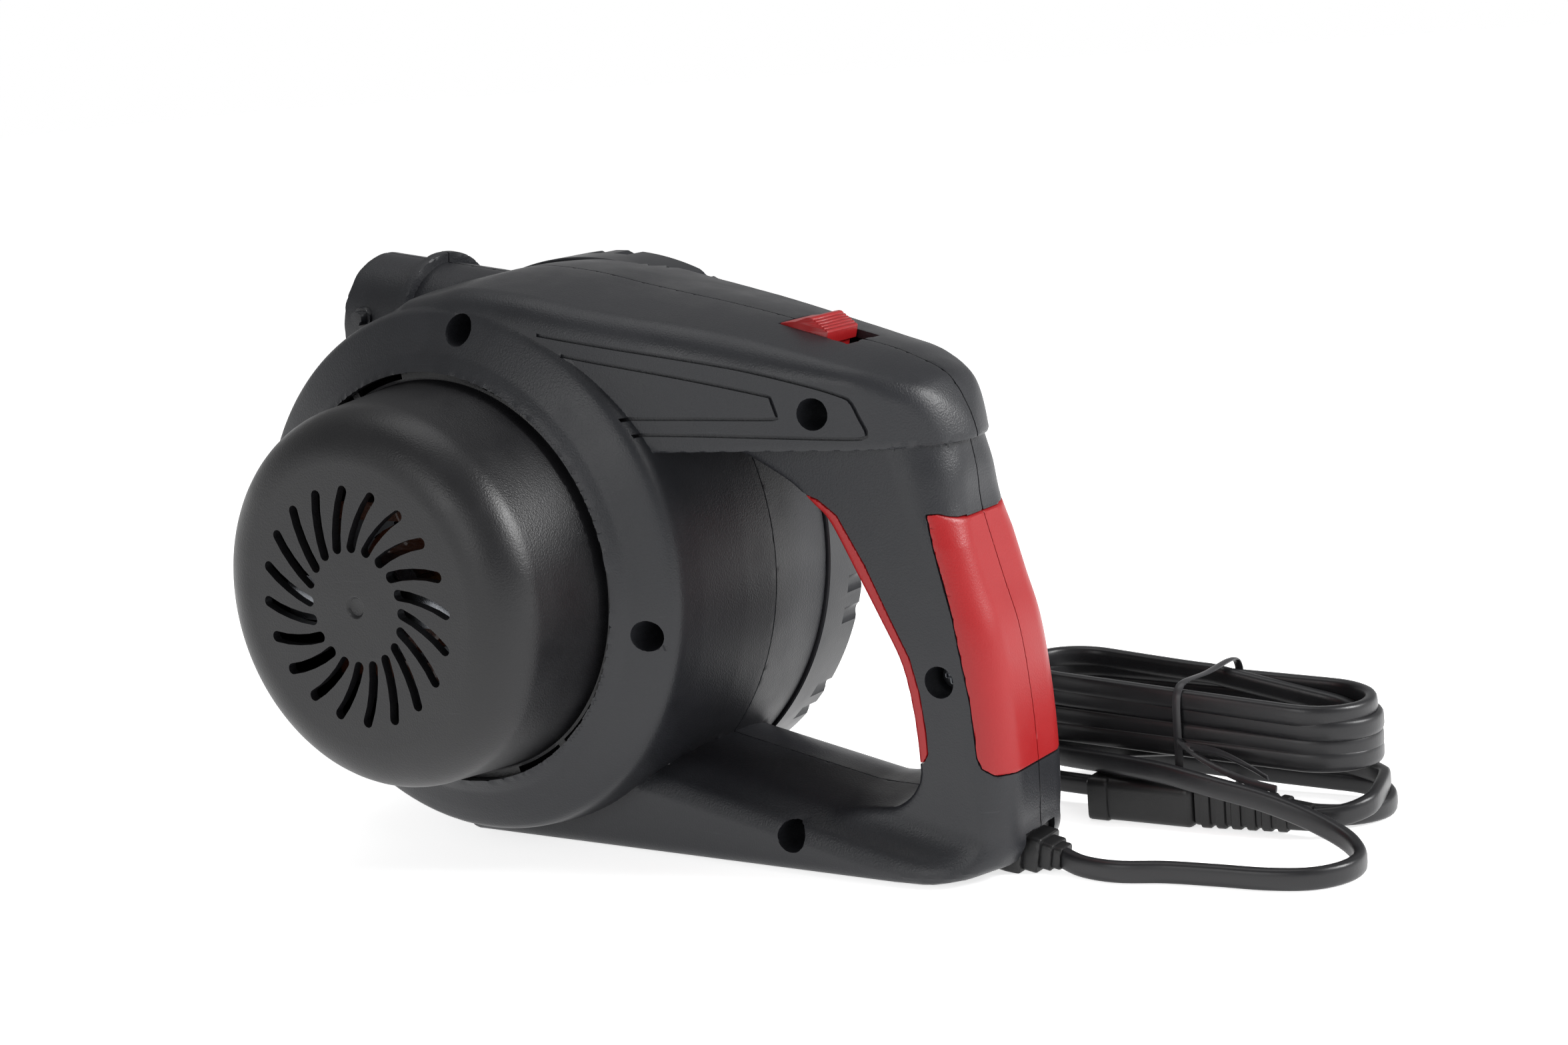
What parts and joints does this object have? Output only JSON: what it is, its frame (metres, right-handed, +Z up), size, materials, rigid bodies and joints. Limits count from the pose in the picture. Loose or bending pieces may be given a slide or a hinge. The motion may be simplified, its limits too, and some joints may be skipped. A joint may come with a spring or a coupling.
{
  "type": "hand-held pet dryer blower",
  "caption": "Hand-held electric blower with a drum body, side motor cap, stub nozzle, D-shaped grip, slide switch and a flat twin mains cord tied in a hank.",
  "frame": {"origin": "middle of the body (without its cord) on the surface it stands on", "axes": "+X from the nozzle to the grip, +Y from the motor cap to the air intake along the motor axis, +Z up"},
  "size_m": [0.3093, 0.1684, 0.1621],
  "materials": {
    "housing_plastic": "fine textured moulded",
    "cap_plastic": "fine textured moulded",
    "cover_plastic": "satin moulded",
    "red_plastic": "satin moulded red",
    "fan_plastic": "moulded glass-filled",
    "steel": "ground",
    "laminations": "stacked stampings, varnished",
    "copper_wire": "enamelled winding wire",
    "carbon": "pressed carbon",
    "brass": "stamped",
    "screw_zinc": "blackened zinc",
    "cord_pvc": "extruded flexible PVC, satin",
    "plug_pvc": "moulded PVC, fine texture",
    "tie_plastic": "thin coated strip"
  },
  "bodies": {
    "housing": {"near_housing": "housing_plastic", "far_housing": "housing_plastic", "motor_cap": "cap_plastic", "intake_cover": "cover_plastic", "intake_grille": "cover_plastic", "rear_grip_near": "red_plastic", "rear_grip_far": "red_plastic", "front_grip_near": "red_plastic", "front_grip_far": "red_plastic", "stator_core": "laminations", "field_coil_upper": "copper_wire", "field_coil_lower": "copper_wire", "bearing_near": "steel", "bearing_far": "steel", "bearing_bridge_near": "steel", "bearing_bridge_far": "steel", "brush_holder_rear": "brass", "brush_holder_front": "brass", "carbon_brush_rear": "carbon", "carbon_brush_front": "carbon", "fan_plate": "fan_plastic", "switch_body": "fan_plastic", "screw_drum_top": "screw_zinc", "screw_drum_rear": "screw_zinc", "screw_drum_front": "screw_zinc", "screw_arm": "screw_zinc", "screw_handle": "screw_zinc", "screw_base": "screw_zinc", "strain_relief": "plug_pvc", "cord_clamp": "fan_plastic", "cord_tube": "cord_pvc", "cord_tail": "cord_pvc", "cord_hank": "cord_pvc", "twist_tie": "tie_plastic", "plug_body": "plug_pvc", "plug_sleeve": "plug_pvc"},
    "rotor": {"motor_shaft": "steel", "armature_core": "laminations", "armature_winding_near": "copper_wire", "armature_winding_far": "copper_wire", "commutator": "copper_wire", "impeller": "fan_plastic", "impeller_nut": "steel"},
    "switch": {"switch_slider": "red_plastic"}
  },
  "joints": [
    {"name": "fan_spin", "type": "hinge", "parent": "housing", "child": "rotor", "pos_m": [-0.0374, 0.0184, 0.0785], "axis": [0, 1, 0], "continuous": true},
    {"name": "switch_slide", "type": "slide", "parent": "housing", "child": "switch", "axis": [0.9703, 0, -0.2419], "range_m": [0, 0.006]}
  ]
}
